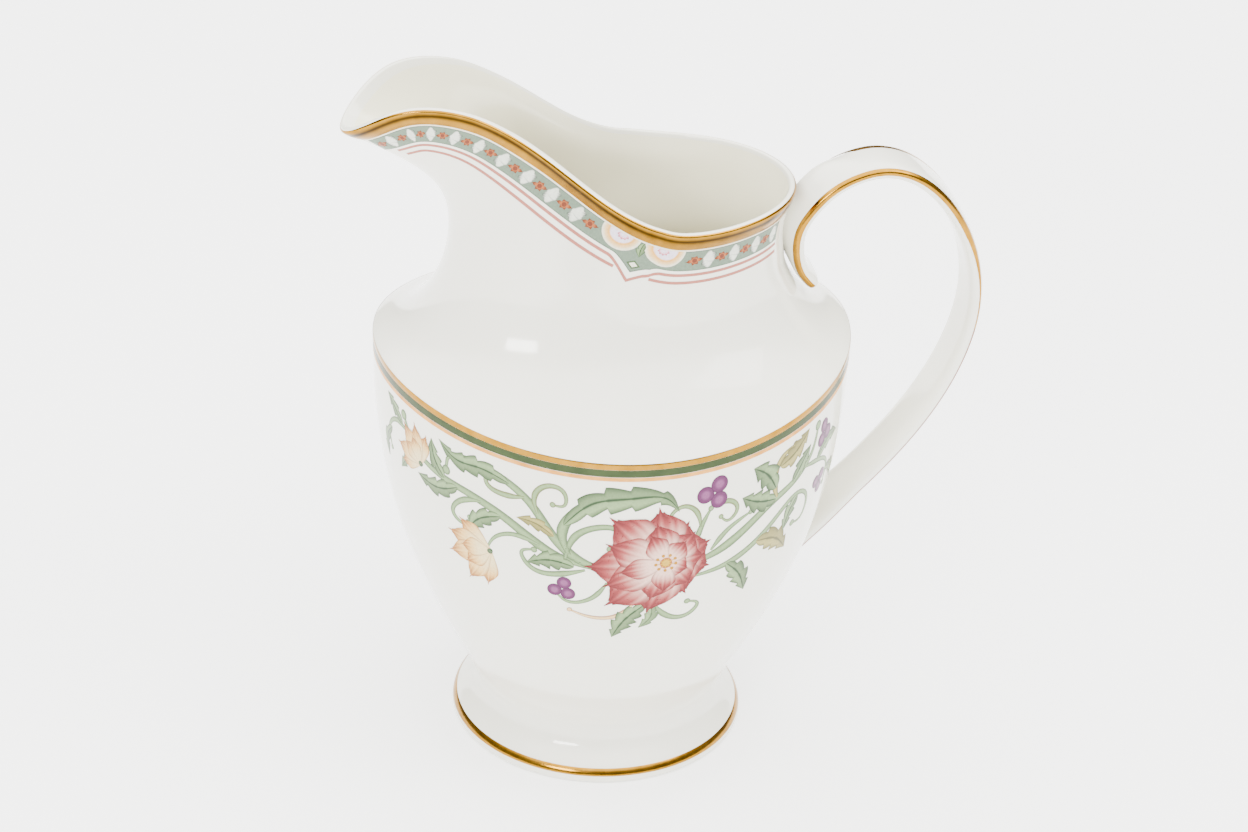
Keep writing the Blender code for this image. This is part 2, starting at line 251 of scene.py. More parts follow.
def add_mesh(name, points, faces, material, sharp, stand_for=(), colours=None):
    """Adds a mesh, smooth up to the sharp angle in degrees. Colours are one linear RGB per point."""
    mesh = bpy.data.meshes.new(name)
    mesh.from_pydata(np.asarray(points).tolist(), [], faces)
    mesh.shade_smooth()
    mesh.set_sharp_from_angle(angle=math.radians(sharp))
    if colours is not None:
        layer = mesh.color_attributes.new("paint", "FLOAT_COLOR", "POINT")
        full = np.ones((len(points), 4), np.float32)
        full[:, :3] = colours
        layer.data.foreach_set("color", full.ravel())
    mesh.materials.append(material)
    made = add_object(name, mesh)
    made.location.x = AXIS_X
    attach(made, "root")
    if stand_for:
        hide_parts(*stand_for)
    return made


def ring_faces(rings, around, loop=False, capped=False):
    """Quads between rings of the same number of points.

    With loop, the last ring joins the first. With capped, one face closes each end.
    """
    faces = []
    for i in range(rings if loop else rings - 1):
        low, high = i * around, ((i + 1) % rings) * around
        for j in range(around):
            k = (j + 1) % around
            faces.append((low + j, low + k, high + k, high + j))
    if capped:
        last = (rings - 1) * around
        faces.append(tuple(range(around - 1, -1, -1)))
        faces.append(tuple(range(last, last + around)))
    return faces


def full_turn(count):
    return np.linspace(0, 2 * np.pi, count, endpoint=False)


def circle(radius, height, around):
    angles = full_turn(around)
    return np.stack([radius * np.cos(angles), radius * np.sin(angles), np.full(around, height)], axis=-1)


def make_body(material, shaded_inner_material):
    angles = full_turn(AROUND)
    belly = np.linspace(0, 1, BELLY_ROWS, endpoint=False)
    neck = 1 + np.linspace(0, 1, NECK_ROWS) ** 1.35
    levels = np.concatenate([belly, neck])
    outside = [outer_face(angles, level) for level in levels]
    # The lip is a half round between the outer and inner faces.
    lip = [lip_point(angles, turn)[0] for turn in np.linspace(0, np.pi, 13)[1:-1]]
    inner_levels = np.concatenate([
        1 + np.linspace(1, NECK_FOOT, INNER_ROWS) ** 1.1,
        np.linspace(BELLY_INSIDE_TOP, FLOOR_EDGE, 28),
    ])
    inside = []
    for level in inner_levels:
        inside.append(outer_face(angles, level) - wall_at(level) * face_normal(angles, level))
    # The floor is a shallow bowl.
    edge = inside[-1]
    floor_z = SHOULDER_R * WAIST_Z + FLOOR
    bowl = []
    for share in (0.3, 0.55, 0.75, 0.9, 0.98):
        ring = edge.copy()
        ring[:, :2] *= math.sqrt(1 - share**2) * (1 - 0.12 * share)
        ring[:, 2] += (floor_z - edge[:, 2]) * share
        bowl.append(ring)
    rings = [*outside, *lip, *inside, *bowl]
    faces = ring_faces(len(rings), AROUND, capped=True)
    made = add_mesh("porcelain_body", np.concatenate(rings), faces, material, 60, ("body",))
    # The inner faces take the inside material, whose creamier tint is painted shade.
    made.data.materials.append(shaded_inner_material)
    first_inside = (len(outside) + len(lip) + 1) * AROUND
    for face in made.data.polygons:
        if first_inside <= face.index < len(faces) - 2:
            face.material_index = 1


def make_foot(material):
    top = WAIST_Z - 0.0002 / SHOULDER_R
    outline = [(height, float(foot_radius(height))) for height in np.linspace(top, FOOT_EDGE, 30)]
    for turn in np.linspace(0, np.pi / 2, 7)[1:]:
        height = FOOT_EDGE - FOOT_EDGE * math.sin(turn)
        outline.append((height, float(foot_radius(FOOT_EDGE)) - FOOT_EDGE * (1 - math.cos(turn))))
    hollow = Spline([(min(height, top), radius) for height, radius in FOOT_HOLLOW])
    for height in np.linspace(0, FOOT_HOLLOW[-1][0], 20):
        outline.append((min(height, top), float(hollow(height))))
    rings = [circle(SHOULDER_R * radius, SHOULDER_R * height, AROUND) for height, radius in outline]
    faces = [face[::-1] for face in ring_faces(len(rings), AROUND, loop=True)]
    add_mesh("porcelain_foot", np.concatenate(rings), faces, material, 50, ("foot",))


def handle_spline():
    points = np.array(HANDLE_LINE)
    spans = np.linalg.norm(np.diff(points, axis=0), axis=1)
    places = np.concatenate([[0], np.cumsum(spans)]) / spans.sum()
    return Spline(np.column_stack([places, points]))


handle_curve = handle_spline()


def handle_frame(t):
    """Middle line of the strap and its outward direction, in 3-D."""
    step = 2e-3
    line = SHOULDER_R * handle_curve(np.clip(t, 0, 1))
    tangent = unit(handle_curve(np.clip(t + step, 0, 1)) - handle_curve(np.clip(t - step, 0, 1)))
    centre = np.stack([line[..., 0], np.zeros_like(line[..., 0]), line[..., 1]], axis=-1)
    outward = np.stack([-tangent[..., 1], np.zeros_like(line[..., 0]), tangent[..., 0]], axis=-1)
    return centre, outward


def strap_section(turns):
    """Points round the strap's section, as (across, outward) in metres: a flat band with eased edges."""
    c, s = np.cos(turns), np.sin(turns)
    across = np.sign(c) * np.abs(c) ** SECTION_ACROSS
    crown = SECTION_CROWN * (1 - across**2)
    outward = np.sign(s) * np.abs(s) ** SECTION_OUTWARD + np.where(s > 0, crown, -SECTION_UNDER * crown)
    return across * HANDLE_WIDTH / 2, outward * HANDLE_THICK / 2


def reach_belly(points, depth):
    """Carries the strap's last ring straight on, until each point is this deep under the belly's face."""
    _, outward = handle_frame(1.0)
    ahead = np.array([outward[2], 0, -outward[0]])
    reached = np.array(points, float)
    for _ in range(60):
        radius = SHOULDER_R * belly_radius(reached[:, 2] / SHOULDER_R) - depth
        gap = np.hypot(reached[:, 0], reached[:, 1]) - radius
        reached += ahead * gap[:, None]
    return reached


def joint_pad(t):
    """Clay added under the strap where it is luted along the neck."""
    return PAD_THICK * smoothstep(0.04, 0.11, t) * (1 - smoothstep(0.17, 0.24, t))


def pad_share(across):
    """The pad fills the middle of the strap and leaves its gilt edges clear."""
    return 1 - smoothstep(0.10, 0.88, np.abs(across) / (HANDLE_WIDTH / 2))


def strap_scale(t):
    """How the section is scaled, across and outward: rounded off at the free end, flared at the foot."""
    end = min(t / STRAP_END, 1)
    shrink = math.sqrt(max(1 - (1 - end) ** 2, 1e-4))
    flare = 1 + FOOT_FLARE * float(smoothstep(0.90, 1.0, t))
    return (0.55 + 0.45 * shrink) * flare, shrink


def make_handle(material):
    across, outward = strap_section(full_turn(SECTION_POINTS))
    rings = []
    # Rows lie close together round the free end.
    places = np.concatenate([np.linspace(0, 0.02, 14), np.linspace(0.02, 1, HANDLE_ROWS)[1:]])
    for t in places:
        centre, out = handle_frame(t)
        wide, thick = strap_scale(t)
        y = across * wide
        lift = outward * thick + joint_pad(t) * pad_share(across) * (outward > 0)
        rings.append(centre + out * lift[:, None] + np.stack([0 * y, y, 0 * y], axis=-1))
    rings.append(reach_belly(rings[-1], JOINT_DEPTH))
    faces = ring_faces(len(rings), SECTION_POINTS, capped=True)
    add_mesh("porcelain_handle", np.concatenate(rings), faces, material, 70, ("handle",))


# ---- painted bands

REFLECTION_STREAK_AT = 0.60  # where the rim gilding's painted dark reflection lies, from its lower edge, as a share of its width
REFLECTION_STREAK_WIDTH = 0.15
REFLECTION_STREAK_DEPTH = 0.92
LINE_MIDDLE = 22.0  # where the handle's painted lines run, in degrees round the strap from its narrow side
FAR_LINE_MIDDLE = 58.0


def band(name, centres, normals, dome, material, stand_for, tones=None):
    """A thin closed band around the jug. Centres and normals are rings, from its lower to its upper edge.

    Tones, one for each ring, are how bright the paint is; on the rim's gilding they paint a dark
    reflection.
    """
    count = len(centres)
    top = []
    for i, (ring, normal) in enumerate(zip(centres, normals)):
        across = 2 * i / (count - 1) - 1
        top.append(ring + normal * (FILM_LIFT + dome * (1 - across**2)))
    under = [centres[-1] - FILM_SINK * normals[-1], centres[0] - FILM_SINK * normals[0]]
    rings = top + under
    faces = ring_faces(len(rings), len(centres[0]), loop=True)
    paint = None
    if tones is not None:
        shades = np.concatenate([tones, [tones[-1], tones[0]]])
        paint = np.repeat(shades, len(centres[0]))[:, None] * np.ones((1, 3))
    add_mesh(name, np.concatenate(rings), faces, material, 40, stand_for, paint)


def shoulder_band(name, line, dome, material, stand_for):
    angles = full_turn(LINE_AROUND)
    top, bottom = line
    levels = [shoulder_level(rise) for rise in np.linspace(bottom, top, 9)]
    centres = [outer_face(angles, level) for level in levels]
    normals = [face_normal(angles, level) for level in levels]
    band(name, centres, normals, dome, material, (stand_for,))


def rim_chart(side, reach):
    """Lines that start square to the rim and run straight down the face, as a chart of (angle, level).

    Rows go along the rim from the spout's tip to the handle, columns go down from the rim. The rim's length
    comes with it.
    """
    angles = np.linspace(np.pi, 0, 721)
    rim = outer_face(angles, np.full(len(angles), 2.0))
    run = np.concatenate([[0], np.cumsum(np.linalg.norm(np.diff(rim, axis=0), axis=1))])
    even = np.linspace(0, run[-1], 501)
    angle = np.interp(even, run, angles)
    level = np.full(len(angle), 2.0)
    nudge = 1e-4
    heading = None
    chart = [np.stack([angle, level], axis=-1)]
    for _ in range(int(reach / CHART_STEP)):
        by_angle = (outer_face(angle + nudge, level) - outer_face(angle - nudge, level)) / (2 * nudge)
        by_level = (outer_face(angle, level) - outer_face(angle, level - nudge)) / nudge
        normal = unit(np.cross(by_angle, by_level))
        if heading is None:
            heading = unit(np.cross(normal, by_angle))
            heading *= np.sign(-heading[:, 2:3])
        heading = unit(heading - np.sum(heading * normal, axis=-1, keepdims=True) * normal)
        aa, bb = np.sum(by_angle**2, -1), np.sum(by_level**2, -1)
        ab = np.sum(by_angle * by_level, -1)
        ha, hb = np.sum(heading * by_angle, -1), np.sum(heading * by_level, -1)
        scale = CHART_STEP / (aa * bb - ab**2)
        angle = angle + (ha * bb - hb * ab) * scale
        level = level + (hb * aa - ha * ab) * scale
        chart.append(np.stack([angle, level], axis=-1))
    chart = np.stack(chart, axis=1)
    chart[..., 0] *= side
    return chart, run[-1]


def read_chart(chart, length, across, down):
    """(angle, level) at these lengths along the rim and distances below it."""
    i = np.clip(across / length, 0, 1) * (chart.shape[0] - 1)
    j = np.clip(down / CHART_STEP, 0, chart.shape[1] - 1)
    i0 = np.minimum(i.astype(int), chart.shape[0] - 2)
    j0 = np.minimum(j.astype(int), chart.shape[1] - 2)
    fi, fj = (i - i0)[:, None], (j - j0)[:, None]
    low = chart[i0, j0] * (1 - fj) + chart[i0, j0 + 1] * fj
    high = chart[i0 + 1, j0] * (1 - fj) + chart[i0 + 1, j0 + 1] * fj
    return low * (1 - fi) + high * fi


def lip_point(angle, turn):
    """A point of the lip's half round, this far round from the outer face, and its normal."""
    normal = face_normal(angle, 2.0)
    up = unit(outer_face(angle, 2.0) - outer_face(angle, 1.98))
    middle = outer_face(angle, 2.0) - normal * LIP / 2
    place = middle + normal * (LIP / 2 * math.cos(turn)) + up * (LIP * LIP_ROUND * math.sin(turn))
    return place, unit(normal * math.cos(turn) + up * math.sin(turn))


def rim_band(material):
    """The rim's gilding, from below the rim to a little way onto the lip, with a painted dark reflection
    along it.
    """
    chart, length = rim_chart(1, RIM_GILT_WIDTH + 2 * CHART_STEP)
    along = np.linspace(0, length, LINE_AROUND)
    centres, normals = [], []
    for distance in np.linspace(RIM_GILT_WIDTH, 0, 17):
        place = read_chart(chart, length, along, np.full(len(along), distance))
        angle = np.concatenate([place[:, 0], -place[-2:0:-1, 0]])
        level = np.concatenate([place[:, 1], place[-2:0:-1, 1]])
        centres.append(outer_face(angle, level)[::-1])
        normals.append(face_normal(angle, level)[::-1])
    for turn in np.radians([15, 30, 45, 60]):
        place, normal = lip_point(angle, turn)
        centres.append(place[::-1])
        normals.append(normal[::-1])
    # A painted reflection: a dark streak along the gold's upper half, where the rounded band would mirror
    # dim surroundings.
    share = np.linspace(0, 1, len(centres))
    tones = 1 - REFLECTION_STREAK_DEPTH * np.exp(-(((share - REFLECTION_STREAK_AT) / REFLECTION_STREAK_WIDTH) ** 2))
    band("rim_gilding", centres, normals, RIM_GILT_DOME, material, ("rim_gilt_band",), tones)


def foot_band(material):
    rings, normals = [], []
    for height in np.linspace(FOOT_GILT[1], FOOT_GILT[0], 9):
        slope = float(foot_radius(height + 1e-3) - foot_radius(height - 1e-3)) / 2e-3
        ring = circle(SHOULDER_R * float(foot_radius(height)), SHOULDER_R * height, LINE_AROUND)
        flat = circle(1.0, 0.0, LINE_AROUND)
        flat[:, 2] = -slope
        rings.append(ring)
        normals.append(unit(flat))
    band("foot_gilding", rings, normals, GILT_DOME, material, ("foot_gilt_line",))


# ---- materials


def set_inputs(node, values):
    for name, value in values.items():
        node.inputs[name].default_value = value


def add_noise(nodes, links, scale, detail):
    place = nodes.new("ShaderNodeTexCoord")
    noise = nodes.new("ShaderNodeTexNoise")
    set_inputs(noise, {"Scale": scale, "Detail": detail})
    links.new(place.outputs["Object"], noise.inputs["Vector"])
    return noise.outputs["Fac"]


def two_tone(nodes, links, factor, low, high):
    """A ramp between two linear colours."""
    ramp = nodes.new("ShaderNodeValToRGB")
    for element, position, colour in zip(ramp.color_ramp.elements, (0.3, 0.7), (low, high)):
        element.position = position
        element.color = (*colour, 1)
    links.new(factor, ramp.inputs["Fac"])
    return ramp.outputs["Color"]


def range_of(nodes, links, factor, low, high):
    spread = nodes.new("ShaderNodeMapRange")
    set_inputs(spread, {"To Min": low, "To Max": high})
    links.new(factor, spread.inputs["Value"])
    return spread.outputs["Result"]


def times_paint(nodes, links, colour):
    """This colour multiplied by the mesh's own paint colours."""
    paint = nodes.new("ShaderNodeVertexColor")
    paint.layer_name = "paint"
    mix = nodes.new("ShaderNodeMix")
    mix.data_type = "RGBA"
    mix.blend_type = "MULTIPLY"
    mix.inputs["Factor"].default_value = 1.0
    links.new(paint.outputs["Color"], mix.inputs["A"])
    links.new(colour, mix.inputs["B"])
    return mix.outputs["Result"]


def noisy_material(name, grain, low, high, roughness, values, painted=False):
    """A material whose colour and roughness wander with a noise, given as (scale, detail)."""
    made = bpy.data.materials.new(name)
    made.use_nodes = True
    nodes, links = made.node_tree.nodes, made.node_tree.links
    shader = nodes["Principled BSDF"]
    noise = add_noise(nodes, links, *grain)
    colour = two_tone(nodes, links, noise, low, high)
    if painted:
        colour = times_paint(nodes, links, colour)
    links.new(colour, shader.inputs["Base Color"])
    links.new(range_of(nodes, links, noise, *roughness), shader.inputs["Roughness"])
    set_inputs(shader, values)
    return made


def porcelain_material(name, dark, light):
    """White glazed china: a faintly uneven body colour under a clear, slightly wavy glaze."""
    glaze = {"IOR": 1.52, "Coat Weight": 0.35, "Coat Roughness": 0.04}
    made = noisy_material(name, (38.0, 3.0), dark, light, (0.09, 0.14), glaze)
    nodes, links = made.node_tree.nodes, made.node_tree.links
    bump = nodes.new("ShaderNodeBump")
    set_inputs(bump, {"Strength": 0.25, "Distance": GLAZE_RIPPLE})
    links.new(add_noise(nodes, links, 120.0, 1.0), bump.inputs["Height"])
    links.new(bump.outputs["Normal"], nodes["Principled BSDF"].inputs["Normal"])
    return made


def gilding_material(name, painted=False):
    """Burnished gold. With painted, it is also darkened by the mesh's paint colours, which on the rim are a
    painted reflection.
    """
    return noisy_material(name, (420.0, 3.0), (0.27, 0.128, 0.008), (0.37, 0.182, 0.016), (0.14, 0.24),
                          {"Metallic": 1.0}, painted)


def enamel_material(name, dark, light):
    return noisy_material(name, (420.0, 4.0), dark, light, (0.18, 0.28), {"Specular IOR Level": 0.2})


# ---- printed decoration

# Print colours, as linear red, green and blue. They are deep because the studio light is bright.
CREAM = (0.9, 0.87, 0.7)
LEAF_DARK = (0.03, 0.06, 0.025)
LEAF_MID = (0.078, 0.126, 0.058)
LEAF_PALE = (0.27, 0.385, 0.18)
OLIVE = (0.113, 0.107, 0.034)
OLIVE_PALE = (0.44, 0.38, 0.124)
ROSE_DARK = (0.15, 0.017, 0.02)
ROSE_MID = (0.384, 0.06, 0.058)
ROSE_PALE = (0.9, 0.59, 0.48)
PEACH_LINE = (0.34, 0.105, 0.02)
PEACH_MID = (0.86, 0.5, 0.15)
PEACH_PALE = (0.9, 0.72, 0.38)
BERRY_DARK = (0.078, 0.015, 0.061)
BERRY_RIM = (0.117, 0.027, 0.09)
BERRY_MID = (0.13, 0.03, 0.1)
BERRY_PALE = (0.242, 0.075, 0.189)
SAGE = (0.179, 0.241, 0.172)
SAGE_DARK = (0.075, 0.1, 0.074)
BEAD_WHITE = (0.8, 0.83, 0.72)
RUSSET = (0.185, 0.043, 0.018)
RUSSET_PALE = (0.505, 0.145, 0.039)
PINK_LINE = (0.47, 0.17, 0.127)
BUD_PINK = (0.514, 0.058, 0.113)
BUD_PALE = (0.9, 0.35, 0.42)
RING_PEACH = (0.88, 0.43, 0.07)
RING_PALE = (0.9, 0.62, 0.3)
LILAC = (0.86, 0.76, 0.88)
TAIL_BROWN = (0.235, 0.1, 0.066)
SEED = (0.815, 0.52, 0.06)
POLLEN = (0.42, 0.186, 0.01)
STAMEN = (0.267, 0.136, 0.019)

LAYER = 0.000008  # how much higher each later layer of print lies
LEAF_WIDEN = 1.2  # how much fatter than its stated width each leaf and stem is drawn
STEM_THICKEN = 1.3
LOBE_DEPTH = 0.42


class Print:
    """Collects thin closed patches, drawn on a flat sheet in millimetres, and wraps them onto the jug.

    The wrap turns (across, down) rows into angles and levels on the outer face.
    """

    def __init__(self, wrap):
        self.wrap = wrap
        self.points, self.faces, self.colours = [], [], []

    def patch(self, grid, colours, layer=0):
        """Grid is rows x columns x (across, down) in mm, and colours match it. It is closed underneath."""
        grid, colours = np.asarray(grid, float), np.asarray(colours, float)
        rows, columns = grid.shape[:2]
        spots = self.wrap(grid.reshape(-1, 2))
        places, normals = outer_face(*spots), face_normal(*spots)
        top = places + normals * (FILM_LIFT + layer * LAYER)
        under = places - normals * FILM_SINK
        start = sum(len(block) for block in self.points)
        count = rows * columns
        self.points += [top, under]
        flat = colours.reshape(-1, 3)
        self.colours += [flat, flat]
        front = np.cross(top[1] - top[0], top[columns] - top[0])
        flip = np.dot(front, normals[0]) < 0
        made = []
        for r in range(rows - 1):
            for c in range(columns - 1):
                i = r * columns + c
                made.append((i, i + 1, i + columns + 1, i + columns))
                made.append((i + count, i + columns + count, i + columns + 1 + count, i + 1 + count))
        index = np.arange(count).reshape(rows, columns)
        edge = [*index[0], *index[1:, -1], *index[-1, -2::-1], *index[-2:0:-1, 0]]
        for i, j in zip(edge, edge[1:] + edge[:1]):
            made.append((i, i + count, j + count, j))
        for face in made:
            face = face[::-1] if flip else face
            self.faces.append([start + int(i) for i in face])

    def add(self, name, material):
        points, colours = np.concatenate(self.points), np.concatenate(self.colours)
        add_mesh(name, points, self.faces, material, 35, colours=colours)


def smooth_line(knots, count):
    """Points along a smooth line through the knots, with its unit normals, both in mm."""
    knots = np.array(knots, float)
    spans = np.linalg.norm(np.diff(knots, axis=0), axis=1)
    places = np.concatenate([[0], np.cumsum(spans)]) / spans.sum()
    curve = Spline(np.column_stack([places, knots]))
    t = np.linspace(0, 1, count)
    line = curve(t)
    tangent = unit(np.gradient(line, axis=0))
    return t, line, np.stack([-tangent[:, 1], tangent[:, 0]], axis=-1)


def blend(low, high, share):
    share = np.asarray(share)[..., None]
    return np.asarray(low) * (1 - share) + np.asarray(high) * share


def stroke(sheet, knots, widths, dark, pale, layer=0, count=40):
    """A stem: widths are (share, width) knots in mm, with dark edges and a pale middle."""
    t, line, normal = smooth_line(knots, count)
    width = np.interp(t, *zip(*widths))
    across = np.array([-1, -0.62, -0.25, 0.25, 0.62, 1])
    shade = np.array([0, 0.62, 1, 0.9, 0.40, 0])
    grid = line[:, None, :] + normal[:, None, :] * (width[:, None] * across[None, :] / 2)[..., None]
    sheet.patch(grid, blend(dark, pale, np.tile(shade, (count, 1))), layer)


def leaf(sheet, knots, width, lobes, layer=1.3, dark=LEAF_DARK, pale=LEAF_PALE, side=1.0):
    """A leaf along a curved midrib, with forward-pointing lobes, a dark rim and a dark vein.

    Side is how much wider the half on the normal's side is.
    """
    t, line, normal = smooth_line(knots, 56)
    envelope = np.sin(np.pi * np.clip(t, 0, 1) ** 0.85) ** 0.8
    lobed = 1 - LOBE_DEPTH * np.mod(t * lobes, 1) ** 1.5
    half = np.maximum(LEAF_WIDEN * width / 2 * envelope * lobed, 0.02)
    across = np.array([-1, -0.84, -0.50, -0.17, -0.05, 0.05, 0.17, 0.55, 0.84, 1])
    shade = np.array([0, 0.25, 0.55, 0.62, 0.0, 0.0, 0.85, 1.0, 0.45, 0])
    skew = np.where(across > 0, side, 1.0)
    grid = line[:, None, :] + normal[:, None, :] * (half[:, None] * across[None, :] * skew)[..., None]
    tip = smoothstep(0.55, 1.0, t)[:, None]
    sheet.patch(grid, blend(dark, pale, np.clip(shade[None, :] * (1 - 0.35 * tip), 0, 1)), layer)


def petal(sheet, base, angle, length, width, dark, mid, pale, layer, teeth=3, rough=0.10, curl=0.0):
    """A petal that opens from its base, with a toothed tip. At 0 degrees it points right, at 90 down."""
    rows, columns = 22, 15
    u = np.linspace(0, 1, rows)[:, None]
    v = np.linspace(-1, 1, columns)[None, :]
    half = width / 2 * (0.20 + 0.80 * np.sin(np.pi * np.clip(u, 0, 1) ** 1.15 * 0.86) ** 0.9)
    half = half * (1 - smoothstep(0.80, 1.0, u) * 0.55)
    tip = 1 - 0.20 * v**2 - rough * np.abs(np.mod(v * teeth + teeth, 2) - 1)
    along = length * u * (1 + (tip - 1) * u**2)
    side = half * v + curl * length * u**2
    turn = math.radians(angle)
    x = base[0] + along * math.cos(turn) - side * math.sin(turn)
    y = base[1] + along * math.sin(turn) + side * math.cos(turn)
    grid = np.stack([x, y], axis=-1)
    streak = 0.10 * np.sin(np.arange(columns) * 2.4)[None, :]
    reach = np.clip(u + streak * u, 0, 1)
    colours = blend(pale, mid, smoothstep(0.30, 0.78, reach))
    colours = blend(colours, dark, smoothstep(0.62, 0.98, reach))
    rim = smoothstep(0.78, 1.0, np.abs(v)) * (0.55 + 0.45 * u) * 0.9
    sheet.patch(grid, blend(colours, dark, rim), layer)


def disc(sheet, centre, radii, tones, layer, sweep=360.0):
    """A round spot, or the part of one that this sweep covers: radii in mm and one tone for each."""
    count = 29 if sweep >= 360 else 17
    turns = np.radians(np.linspace(0, sweep, count))
    round_points = np.stack([np.cos(turns), np.sin(turns)], axis=-1)
    grid = [np.array(centre) + radius * round_points for radius in radii]
    sheet.patch(grid, [np.tile(tone, (count, 1)) for tone in tones], layer)


def berries(sheet, centre, size, turn):
    """Three round berries that touch."""
    radii = [0.02 * size, 0.35 * size, 0.62 * size, 0.86 * size, size]
    tones = [BERRY_PALE, BERRY_PALE, BERRY_MID, BERRY_RIM, BERRY_DARK]
    for k in range(3):
        angle = math.radians(turn + 120 * k)
        middle = (centre[0] + size * 1.08 * math.cos(angle), centre[1] + size * 1.08 * math.sin(angle))
        disc(sheet, middle, radii, tones, 3 + k * 0.4)


# Each row's number of petals, length and width as shares of the reach, and first angle.
PEONY_ROWS = [(9, 1.00, 0.60, 20.0), (7, 0.80, 0.56, 0.0), (5, 0.58, 0.52, 24.0)]


def peony(sheet, heart, reach):
    """The large flower: three rows of petals round a heart that sits to the right of the middle."""
    layer = 2
    for count, share, fat, offset in PEONY_ROWS:
        # The petals on the right are drawn first, so that those to the left lie over them.
        for k in sorted(range(count), key=lambda k: -math.cos(math.radians(offset + 360 * k / count))):
            angle = offset + 360 * k / count
            lean = 0.5 - 0.5 * math.cos(math.radians(angle))
            length = reach * share * (0.58 + 0.46 * lean) * (1 + 0.06 * math.sin(2.1 * k + share * 9))
            squash = 1 - 0.10 * abs(math.sin(math.radians(angle)))
            petal(sheet, heart, angle, length * squash, reach * fat * share, ROSE_DARK, ROSE_MID, ROSE_PALE,
                  layer, curl=0.07 * math.sin(1.7 * k + share * 5))
            layer += 0.5
    disc(sheet, heart, [0.05, 0.4, 0.8, 1.1], [SEED, SEED, POLLEN, ROSE_MID], layer + 1)
    for k in range(9):
        angle = math.radians(40 * k + 12)
        end = (heart[0] + 1.8 * math.cos(angle), heart[1] + 1.6 * math.sin(angle))
        middle = ((heart[0] + end[0]) / 2, (heart[1] + end[1]) / 2 + 0.1)
        stroke(sheet, [heart, middle, end], [(0, 0.16), (1, 0.12)], STAMEN, SEED, layer + 2, count=6)
        disc(sheet, end, [0.02, 0.2, 0.3], [POLLEN] * 3, layer + 3)


# A side-on flower's petals, back to front: turn in degrees, length and width as shares of the reach.
FAN_PETALS = [
    (-62, 0.86, 0.40), (58, 0.86, 0.42), (-34, 1.0, 0.46), (32, 0.98, 0.46), (0, 1.04, 0.50),
    (-14, 0.72, 0.44), (18, 0.68, 0.42),
]


def small_flower(sheet, heart, facing, reach):
    """A peach flower seen from the side: a fan of petals behind a cup."""
    for k, (offset, length, fat) in enumerate(FAN_PETALS):
        petal(sheet, heart, facing + offset, reach * length, reach * fat, PEACH_LINE, PEACH_MID, PEACH_PALE,
              2 + k * 0.7, rough=0.11, curl=0.05 * math.sin(2 * k))
    disc(sheet, heart, [0.05, 0.35, 0.55], [LEAF_MID, LEAF_MID, LEAF_DARK], 8)


def curl_stem(sheet, knots, thick, dark=LEAF_MID, pale=LEAF_PALE):
    """A scroll stem that swells from its root and thins into a curled end with a small bud."""
    thick = STEM_THICKEN * thick
    widths = [(0, 0.35 * thick), (0.25, thick), (0.7, 0.7 * thick), (1, 0.32 * thick)]
    stroke(sheet, knots, widths, dark, pale, 0.6)
    disc(sheet, knots[-1], [0.02, 0.22 * thick, 0.46 * thick], [pale, pale, dark], 0.9)


